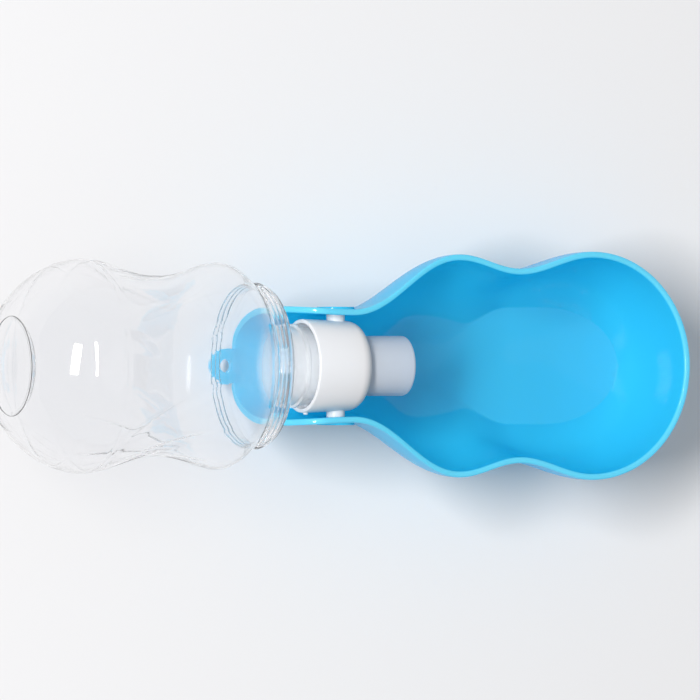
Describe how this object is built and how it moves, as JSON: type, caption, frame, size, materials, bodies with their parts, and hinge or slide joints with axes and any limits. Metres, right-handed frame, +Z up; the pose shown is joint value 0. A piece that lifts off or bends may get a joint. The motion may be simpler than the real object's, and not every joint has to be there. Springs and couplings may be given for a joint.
{
  "type": "dog travel water bottle",
  "caption": "Squeezable clear bottle with a screw cap, a pull spout and a drinking trough that pivots on the cap and folds over the bottle.",
  "frame": {"origin": "centre of the footprint of the opened object, on the surface that it lies on", "axes": "+X along the bottle from its base to the trough's tip, +Z up out of the open trough"},
  "size_m": [0.2446, 0.075, 0.0728],
  "materials": {
    "bottle": "clear, glossy",
    "seal": "soft, matt",
    "cap": "smooth, semi-gloss",
    "stem": "smooth",
    "spout": "translucent, satin",
    "trough": "slightly translucent, glossy"
  },
  "bodies": {
    "bottle": {"bottle": "bottle"},
    "seal": {"neck_seal": "seal"},
    "cap": {"screw_cap": "cap", "valve_stem": "stem"},
    "spout": {"pull_spout": "spout"},
    "trough": {"trough": "trough"}
  },
  "joints": [
    {"name": "cap_lift", "type": "slide", "parent": "bottle", "child": "seal", "axis": [1, 0, 0], "range_m": [0, 0.0042]},
    {"name": "cap_turn", "type": "hinge", "parent": "seal", "child": "cap", "pos_m": [-0.0063, 0, 0.038], "axis": [1, 0, 0], "range_deg": [0, 360]},
    {"name": "spout_pull", "type": "slide", "parent": "cap", "child": "spout", "axis": [1, 0, 0], "range_m": [-0.0035, 0]},
    {"name": "trough_fold", "type": "hinge", "parent": "cap", "child": "trough", "pos_m": [-0.0063, 0, 0.038], "axis": [0, -1, 0], "range_deg": [0, 180]}
  ],
  "couplings": [
    {"joint": "cap_lift", "follows": "cap_turn", "m_per_rad": 0.00066845}
  ]
}
